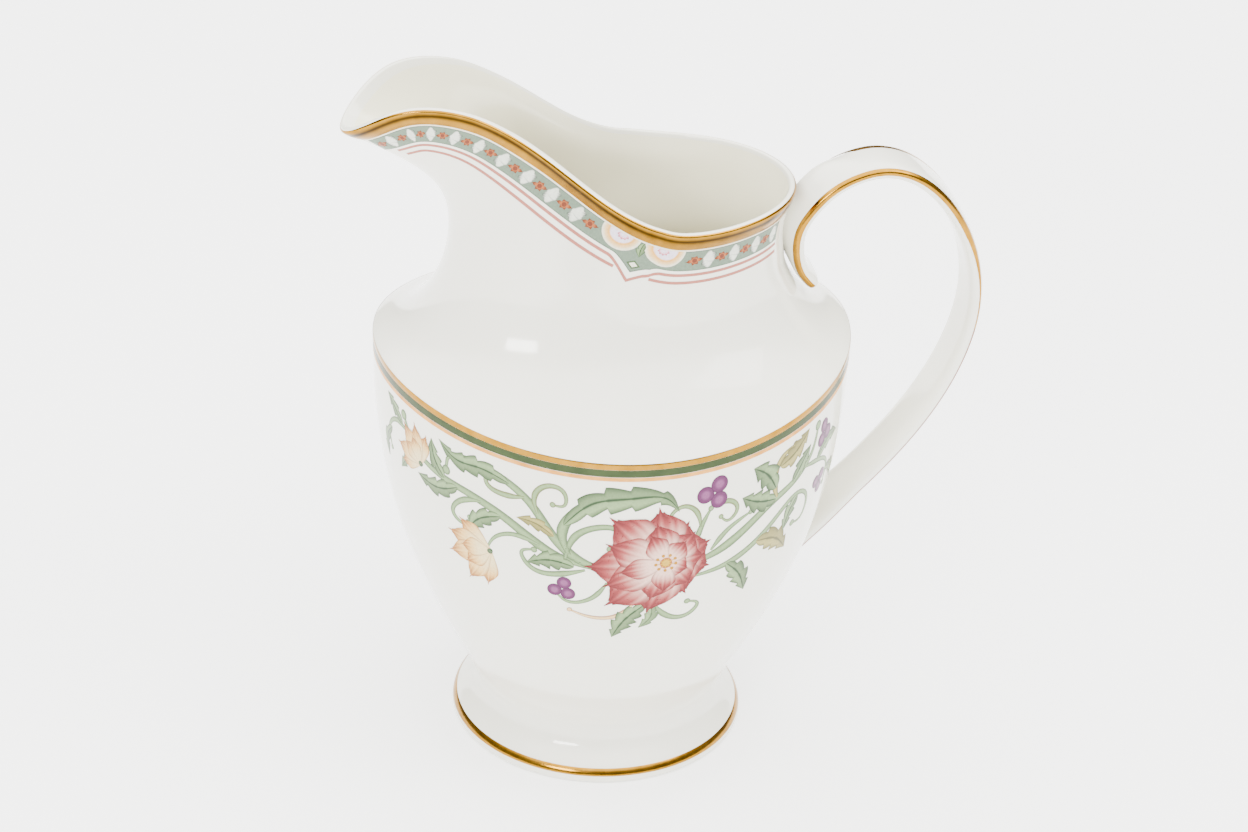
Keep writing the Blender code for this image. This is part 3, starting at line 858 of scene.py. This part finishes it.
def garland(sheet):
    """One side's garland: scrolling stems and leaves that meet under the large flower."""
    # Left side, from the flower out to the spout.
    for drawn in (
        ([(-5, 21.5), (-12, 19.5), (-17.5, 15.0), (-21.5, 9.8), (-27.0, 6.6), (-33.5, 5.8), (-38.2, 7.4),
          (-38.6, 10.0)], 1.5),
        ([(-9, 20.8), (-18, 18.4), (-26, 14.2), (-34, 12.2), (-41.5, 11.6), (-47.5, 9.4),
          (-50.6, 5.6)], 1.5),
        ([(-14.4, 18.4), (-15.8, 14.0), (-13.6, 9.8), (-9.2, 7.2), (-4.0, 6.0)], 1.6),
        ([(-19.5, 17.6), (-25.0, 17.0), (-28.4, 19.4), (-29.4, 22.0)], 0.8),
        ([(-20.2, 11.4), (-20.8, 8.0), (-18.4, 5.6), (-15.6, 6.4), (-15.6, 8.8), (-17.6, 9.0)], 0.9, OLIVE),
        ([(-22.6, 8.9), (-27.0, 9.6), (-30.0, 8.4), (-29.4, 5.9), (-26.8, 6.6)], 0.9, OLIVE),
        ([(-15.0, 19.2), (-13.6, 14.6), (-9.6, 12.2), (-5.8, 13.0), (-5.4, 15.6), (-7.4, 16.4)], 1.1),
        ([(-11.5, 21.2), (-16.6, 23.0), (-21.4, 22.4), (-22.8, 19.8), (-20.6, 18.8)], 1.0),
        ([(-7.6, 23.6), (-10.4, 27.6), (-14.4, 28.6), (-16.4, 26.8)], 0.8),
        ([(-31.0, 12.8), (-35.6, 14.8), (-36.8, 17.8), (-34.2, 18.8), (-33.2, 17.0)], 0.9),
        ([(-49.0, 8.4), (-53.4, 8.0), (-56.4, 11.0), (-55.4, 14.6)], 0.8),
    ):
        curl_stem(sheet, *drawn)
    for drawn in (
        ([(-15.6, 12.6), (-10.5, 7.6), (-4.0, 6.4), (2.4, 7.0),
          (4.4, 9.6)], 4.2, 5, 1.6, LEAF_DARK, LEAF_PALE, 1.1),
        ([(-25.5, 7.2), (-31.5, 6.4), (-36.5, 6.9), (-40.5, 5.0)], 3.4, 5, 1.2),
        ([(-27.0, 14.2), (-31.5, 16.6), (-33.8, 20.4)], 3.2, 4, 1.2),
        ([(-36.0, 12.2), (-41.0, 14.6), (-46.0, 14.4)], 3.2, 4),
        ([(-39.0, 11.8), (-41.6, 9.0), (-42.4, 5.8)], 2.8, 3),
        ([(-44.5, 10.9), (-48.6, 12.8), (-51.6, 16.4)], 2.8, 4, 1.4, LEAF_MID),
        ([(-13.4, 20.8), (-17.6, 20.2), (-21.8, 21.8)], 3.4, 4),
        ([(-17.2, 15.2), (-20.4, 13.4), (-24.0, 13.2)], 2.2, 3, 1.3, OLIVE, OLIVE_PALE),
        ([(-51.0, 7.6), (-54.4, 5.6), (-57.0, 4.4)], 2.2, 3, 1.2),
        ([(-55.2, 10.4), (-57.6, 13.4), (-57.0, 17.2)], 2.2, 3, 1.2),
    ):
        leaf(sheet, *drawn)
    small_flower(sheet, (-45.2, 12.2), 222, 7.4)
    small_flower(sheet, (-28.8, 22.2), 152, 9.4)
    berries(sheet, (-15.2, 26.0), 1.3, 40)
    # Right side, out to the handle.
    for drawn in (
        ([(5.5, 21.0), (12, 19.4), (18, 16.4), (23.5, 13.8), (29.5, 12.2), (34.5, 8.6), (35.6, 5.2)], 1.5),
        ([(7.0, 23.6), (13.5, 23.0), (20, 20.6), (25.5, 17.2), (30.5, 15.6), (33.6, 18.4), (32.2, 22.0),
          (29.6, 21.6)], 1.1),
        ([(7.6, 16.4), (8.6, 13.2), (10.2, 10.2)], 0.9),
        ([(8.4, 13.4), (7.2, 9.8), (4.6, 8.8), (2.8, 10.8), (4.2, 12.2)], 0.8, OLIVE),
        ([(11.0, 10.2), (13.8, 9.8), (15.4, 12.0), (13.6, 13.6), (12.2, 12.4)], 0.8, OLIVE),
        ([(10.6, 18.8), (13.6, 15.6), (18.4, 13.6)], 0.9),
        ([(24.4, 13.4), (23.6, 9.6), (25.0, 6.2), (28.6, 5.2)], 1.2, OLIVE, OLIVE_PALE),
        ([(31.5, 11.2), (36.5, 12.4), (40.8, 15.4), (40.4, 19.4)], 0.8),
    ):
        curl_stem(sheet, *drawn)
    for drawn in (
        ([(24.0, 11.4), (21.6, 7.6), (18.6, 5.4)], 4.2, 3),
        ([(24.8, 7.6), (28.4, 6.8), (32.6, 4.2)], 3.6, 4, 1.3, OLIVE, OLIVE_PALE),
        ([(24.2, 13.6), (19.8, 12.2), (16.4, 10.2)], 3.8, 4, 1.4),
        ([(28.4, 12.4), (31.2, 9.6), (33.4, 7.6)], 2.8, 3, 1.4),
        ([(14.0, 22.8), (17.0, 26.4), (18.6, 31.0)], 3.6, 4),
        ([(20.2, 20.6), (24.8, 22.2), (28.2, 26.2)], 4.2, 4, 1.4, OLIVE, OLIVE_PALE),
        ([(30.4, 15.8), (28.0, 18.6), (27.0, 21.8)], 2.6, 3, 1.4),
        ([(36.0, 12.0), (40.6, 10.2), (44.8, 11.0)], 2.6, 3),
        ([(40.6, 16.4), (44.2, 18.0), (46.0, 21.8)], 2.4, 3),
    ):
        leaf(sheet, *drawn)
    berries(sheet, (10.8, 7.4), 1.6, 60)
    berries(sheet, (38.4, 8.0), 1.3, 20)
    berries(sheet, (38.0, 17.6), 1.2, 80)
    # The tail under the flower.
    for drawn in (
        ([(-2.5, 28.0), (-5.4, 31.2), (-10.0, 31.8), (-13.6, 30.6)], 0.8, TAIL_BROWN, RING_PALE),
        ([(0.8, 28.6), (3.6, 32.0), (7.6, 32.4), (9.0, 30.2), (7.0, 29.2)], 1.0),
    ):
        curl_stem(sheet, *drawn)
    for drawn in (
        ([(-0.6, 28.6), (-3.8, 32.0), (-5.8, 36.8)], 3.8, 5, 1.4),
        ([(0.4, 28.6), (0.6, 31.6), (-1.4, 34.4)], 2.2, 3, 1.5, LEAF_MID),
    ):
        leaf(sheet, *drawn)
    peony(sheet, (2.4, 19.6), 14.6)


def belly_wrap(facing):
    """Wraps a flat sheet onto the belly: across from a side's middle, down from the shoulder's edge."""
    levels = np.linspace(0, 1, 400)
    line = outer_face(facing, levels)
    steps = np.linalg.norm(np.diff(line, axis=0), axis=1)
    depth = np.concatenate([np.cumsum(steps[::-1])[::-1], [0]]) / MM

    def wrap(flat):
        level = np.interp(-np.maximum(flat[:, 1], 0.0), -depth, levels)
        radius = SHOULDER_R / MM * belly_radius(WAIST_Z + (SHOULDER_Z - WAIST_Z) * level)
        return facing + flat[:, 0] / radius, level

    return wrap


BORDER_REACH = 0.0125  # how far down from the rim the border's sheet goes


def rim_wrap(side):
    """Wraps a sheet under the rim: across runs along it from the spout's tip, down is below it."""
    chart, length = rim_chart(side, BORDER_REACH)

    def wrap(flat):
        return read_chart(chart, length, flat[:, 0] * MM, flat[:, 1] * MM).T

    return wrap, length / MM


# The border's heights are in mm below the rim, and its places in mm along the rim from the spout's tip.
SAGE_TOP = 3.15
SAGE_BOTTOM = 7.0
BORDER_START = 4.5
BORDER_END_GAP = 11.0
OGEE = 63.0  # where the border comes down to a point
SPOUT_PITCH = 5.35  # from bead to bead, on the spout's side of the point and on the handle's
HANDLE_PITCH = 5.1


def border_edge(x, height, depth=0.0, wide=1.0):
    """A line at this height. It dips this deep at the ogee, starting this far to either side of it."""
    near = np.clip(1 - np.abs(x - OGEE) / wide, 0, 1)
    return height + depth * near**1.5


def border_strip(sheet, upper, lower, dark, pale, low, high, count):
    """A strip between two edges, each given as border_edge's own values."""
    x = np.linspace(low, high, count)
    top, bottom = border_edge(x, *upper), border_edge(x, *lower)
    share = np.array([0, 0.05, 0.16, 0.30, 0.44, 0.58, 0.72, 0.86, 0.95, 1])
    down = top[:, None] + (bottom - top)[:, None] * share
    shade = np.tile(np.where((share == 0) | (share == 1), 0.0, 1.0), (count, 1))
    sheet.patch(np.stack([np.tile(x[:, None], (1, len(share))), down], axis=-1), blend(dark, pale, shade))


def neck_border(sheet, length):
    """One side's border under the rim's gilding: a sage band with beads and florets, and two pink lines."""
    start, end = BORDER_START, length - BORDER_END_GAP
    border_strip(sheet, (2.8,), (3.05,), RING_PEACH, CREAM, start, end, 240)
    border_strip(sheet, (SAGE_TOP,), (SAGE_BOTTOM, 2.1, 3.4), SAGE_DARK, SAGE, start, end, 260)
    border_strip(sheet, (7.55, 2.8, 3.8), (8.10, 2.9, 3.8), PINK_LINE, PINK_LINE, start + 3, end, 260)
    for low, high in ((start + 4, OGEE - 2.3), (OGEE + 2.3, end)):
        border_strip(sheet, (9.0,), (9.55,), PINK_LINE, PINK_LINE, low, high, 140)
    # Beads and florets take turns, apart from where the two roundels are.
    middle = (SAGE_TOP + SAGE_BOTTOM) / 2
    beads = [OGEE - 11.4 - SPOUT_PITCH * k for k in range(9)]
    beads += [OGEE + 11.5 + HANDLE_PITCH * k for k in range(4)]
    for x in beads:
        # A bead is a pair of pale leaves set tip to tip.
        for half in (-1, 1):
            petal(sheet, (x - half * 0.9, middle), 68 - 90 * half, 2.55, 2.5, SAGE_DARK, BEAD_WHITE,
                  BEAD_WHITE, 1.5 + 0.5 * (half > 0), teeth=2, rough=0.06)
    florets = [OGEE - 8.7 - SPOUT_PITCH * k for k in range(10)]
    florets += [OGEE + 8.9 + HANDLE_PITCH * k for k in range(4)]
    for x in florets:
        for arm in range(6):
            arm_length = 1.6 if arm in (0, 3) else 1.05
            petal(sheet, (x, middle), 60 * arm - 10, arm_length, 0.66, RUSSET, RUSSET, RUSSET_PALE,
                  2 + arm * 0.2, teeth=1)
        disc(sheet, (x, middle), [0.02, 0.28, 0.42], [RUSSET] * 3, 4)
    # Two ringed roundels cut off by the gilding, and a small leaf between them.
    for side in (-1, 1):
        centre = (OGEE + side * 3.75, 3.1)
        tones = [LILAC, LILAC, LILAC, RING_PEACH, RING_PALE, CREAM, SAGE_DARK]
        disc(sheet, centre, [0.05, 1.2, 1.9, 2.15, 2.75, 3.3, 3.42], tones, 3, sweep=180)
        for k in range(5):
            petal(sheet, (centre[0] - side * 0.4, 3.3), 20 + 35 * k, 1.15, 0.7, BUD_PINK, BUD_PALE, LILAC,
                  5 + k * 0.3, teeth=2)
    leaf(sheet, [(OGEE + 0.2, 3.2), (OGEE + 0.1, 4.6), (OGEE + 0.3, 6.0)], 1.3, 2, 5)
    # A lozenge hangs in the point.
    for scale, tone, layer in ((1.0, LEAF_MID, 4), (0.62, CREAM, 5)):
        across, down = (OGEE - scale, OGEE, OGEE + scale), (7.6 - 0.8 * scale, 7.6, 7.6 + 0.8 * scale)
        grid = [[(across[0], down[1]), (across[1], down[0])], [(across[1], down[2]), (across[2], down[1])]]
        sheet.patch(grid, np.tile(tone, (2, 2, 1)), layer)


def handle_line(name, side, run, widths, material, stand_for=(), middle=LINE_MIDDLE):
    """A painted line along one edge of the strap. Its run is (start, where it begins to thin, end).

    Widths, full and thin, are in degrees round the section, where 0 is the middle of its narrow side.
    """
    start, full, end = run
    wide, thin = widths
    rings = []
    for t in np.linspace(start, end, 240):
        centre, out = handle_frame(t)
        spread = wide + (thin - wide) * float(smoothstep(full, full + 0.14, t))
        spread *= math.sqrt(max(1 - (1 - min((t - start) / 0.006, 1)) ** 2, 1e-3))
        turns = middle + spread * np.linspace(-0.5, 0.5, 9)
        bulge = GILT_DOME * (1 - np.linspace(-1, 1, 9) ** 2) * min(spread / wide, 1)
        spots = [*zip(turns, FILM_LIFT + bulge), (turns[-1], -FILM_SINK), (turns[0], -FILM_SINK)]
        ring = [strap_point(t, centre, out, turn, side, lift) for turn, lift in spots]
        rings.append(ring)
    if end >= 1:
        rings.append(reach_belly(rings[-1], JOINT_DEPTH / 2))
    faces = ring_faces(len(rings), len(rings[0]), capped=True)
    if side > 0:
        faces = [face[::-1] for face in faces]
    add_mesh(name, np.concatenate(rings), faces, material, 40, stand_for)


def strap_point(t, centre, out, turn, side, lift):
    """A point this many degrees round the strap's section, raised off its surface."""
    wide, thick = strap_scale(t)
    across, outward = strap_section(np.radians([turn - 0.5, turn, turn + 0.5]))
    places = np.stack([across * wide, outward * thick], axis=-1)
    along = unit(places[2] - places[0])
    y, height = places[1] + lift * np.array([along[1], -along[0]])
    return np.array([centre[0], side * y, centre[2]]) + out * height


# ---- the jug

china = porcelain_material("glazed_china", (0.8148, 0.7991, 0.6939), (0.8469, 0.8308, 0.7305))
# The inside is the same glaze as the outside; its creamier, more yellow colour is painted shade for the dim
# interior.
inner_china_painted_shade = porcelain_material("glazed_china_inside_painted_shade", (0.8228, 0.7835, 0.5906), (0.8632, 0.8308, 0.6445))
gold = gilding_material("burnished_gold")
# The rim's gold carries a painted dark reflection in its paint colours.
rim_gold_painted_reflection = gilding_material("gold_with_painted_reflection", painted=True)
make_body(china, inner_china_painted_shade)
make_foot(china)
make_handle(china)

green = enamel_material("green_enamel", (0.022, 0.040, 0.008), (0.036, 0.058, 0.014))
ochre = enamel_material("ochre_enamel", (0.53, 0.217, 0.03), (0.775, 0.36, 0.08))
tail = enamel_material("tail_enamel", TAIL_BROWN, (0.30, 0.14, 0.10))
shoulder_band("shoulder_gilding", SHOULDER_GILT, GILT_DOME, gold, "shoulder_gilt_line")
shoulder_band("shoulder_green", SHOULDER_GREEN, ENAMEL_DOME, green, "shoulder_green_line")
shoulder_band("shoulder_ochre", SHOULDER_OCHRE, ENAMEL_DOME, ochre, "shoulder_ochre_line")
rim_band(rim_gold_painted_reflection)
foot_band(gold)
handle_line("handle_gilding_left", -1, (0.003, 0.42, 0.60), (46, 14), gold,
            ("handle_gilt_line_left",))
handle_line("handle_gilding_right", 1, (0.003, 0.30, 0.46), (34, 10), gold,
            ("handle_gilt_line_right",), FAR_LINE_MIDDLE)
# A brown line carries each gilt line on down to the belly.
handle_line("handle_tail_left", -1, (0.595, 0.6, 1.0), (14, 12), tail)
handle_line("handle_tail_right", 1, (0.455, 0.6, 1.0), (10, 9), tail, (), FAR_LINE_MIDDLE)

# The print is the mesh's own paint under the grain of a stippled print.
printed = noisy_material("printed_enamel", (2600.0, 2.0), (0.76, 0.76, 0.76), (0.90, 0.90, 0.90),
                         (0.20, 0.30), {"Specular IOR Level": 0.15}, painted=True)
for name, facing in (("garland_front", -np.pi / 2), ("garland_back", np.pi / 2)):
    sheet = Print(belly_wrap(facing))
    garland(sheet)
    sheet.add(name, printed)
for name, side in (("border_front", -1), ("border_back", 1)):
    wrap, length = rim_wrap(side)
    sheet = Print(wrap)
    neck_border(sheet, length)
    sheet.add(name, printed)

# ---- stage, lights and camera

FLOOR_HALF = 3.0
corners = [(x * FLOOR_HALF, y * FLOOR_HALF, 0) for x, y in ((-1, -1), (1, -1), (1, 1), (-1, 1))]
floor_mesh = bpy.data.meshes.new("floor")
floor_mesh.from_pydata(corners, [], [(0, 1, 2, 3)])
pale_floor = bpy.data.materials.new("pale_floor")
pale_floor.use_nodes = True
set_inputs(pale_floor.node_tree.nodes["Principled BSDF"], {
    "Base Color": (0.96, 0.96, 0.96, 1),
    "Emission Color": (1, 1, 1, 1),
    "Emission Strength": 0.7,
    "Roughness": 0.9,
    "Specular IOR Level": 0.1,
})
floor_mesh.materials.append(pale_floor)
add_object("floor", floor_mesh)


def area_light(name, place, aim, size, power):
    lamp = bpy.data.lights.new(name, "AREA")
    lamp.shape = "RECTANGLE"
    lamp.size, lamp.size_y = size
    lamp.energy = power
    made = add_object(name, lamp)
    made.location = place
    made.rotation_euler = (Vector(aim) - Vector(place)).to_track_quat("-Z", "Y").to_euler()


WORLD_STRENGTH = 6.7
# How bright the world is, as a share of its strength, by the Z of the direction looked in.
WORLD_TONES = [(0.0, 0.07), (0.25, 0.05), (0.46, 0.10), (0.74, 0.96), (1.0, 1.0)]


def make_world():
    """A studio: bright above, dim near the horizon, so that gilding shows a dark streak."""
    world = bpy.data.worlds.new("studio")
    bpy.context.scene.world = world
    world.use_nodes = True
    nodes, links = world.node_tree.nodes, world.node_tree.links
    place = nodes.new("ShaderNodeTexCoord")
    split = nodes.new("ShaderNodeSeparateXYZ")
    ramp = nodes.new("ShaderNodeValToRGB")
    links.new(place.outputs["Generated"], split.inputs["Vector"])
    links.new(split.outputs["Z"], ramp.inputs["Fac"])
    ramp.color_ramp.interpolation = "EASE"
    for _ in WORLD_TONES[2:]:
        ramp.color_ramp.elements.new(0.5)
    for element, (height, tone) in zip(ramp.color_ramp.elements, WORLD_TONES):
        element.position = height
        element.color = (tone, tone, tone * 0.99, 1)
    links.new(ramp.outputs["Color"], nodes["Background"].inputs["Color"])
    nodes["Background"].inputs["Strength"].default_value = WORLD_STRENGTH


make_world()
area_light("key", (1.5, -0.9, 1.9), (0, 0, 0.08), (1.0, 1.0), 20.0)
area_light("window", (-1.25, -1.65, 0.98), (0, 0, 0.07), (0.75, 0.32), 30.0)

# The camera looks down at the jug from a little towards the spout, and is tilted a touch.
CAMERA_TURN = math.radians(-13)
CAMERA_RISE = math.radians(32.5)
CAMERA_TILT = math.radians(2.62)
CAMERA_DISTANCE = 20 * SHOULDER_R
CAMERA_SENSOR = 36.0  # mm
CAMERA_TARGET_Z = 0.92 * SHOULDER_R
FOCAL_SHARE = 3.746795  # focal length as a share of the picture's width
AIM_RIGHT = 0.0163462  # how far the picture's middle lies from the target, as shares of its width
AIM_UP = 0.0855769

flat_back = Vector((math.sin(CAMERA_TURN), -math.cos(CAMERA_TURN), 0))
back = flat_back * math.cos(CAMERA_RISE) + Vector((0, 0, math.sin(CAMERA_RISE)))
level_right = Vector((math.cos(CAMERA_TURN), math.sin(CAMERA_TURN), 0))
level_up = back.cross(level_right)
right = level_right * math.cos(CAMERA_TILT) + level_up * math.sin(CAMERA_TILT)
up = back.cross(right)
place = Vector((AXIS_X, 0, CAMERA_TARGET_Z)) + back * CAMERA_DISTANCE
aim = (-back * FOCAL_SHARE + right * AIM_RIGHT + up * AIM_UP).normalized()
aim_right = aim.cross(up).normalized()
aim_up = aim_right.cross(aim)
camera_data = bpy.data.cameras.new("camera")
camera_data.sensor_width = CAMERA_SENSOR
camera_data.lens = FOCAL_SHARE * CAMERA_SENSOR * math.hypot(1, AIM_UP / FOCAL_SHARE)
camera_data.clip_start = 0.01
camera = add_object("camera", camera_data)
facing = Matrix((aim_right, aim_up, -aim)).transposed()
camera.matrix_world = Matrix.Translation(place) @ facing.to_4x4()
bpy.context.scene.camera = camera
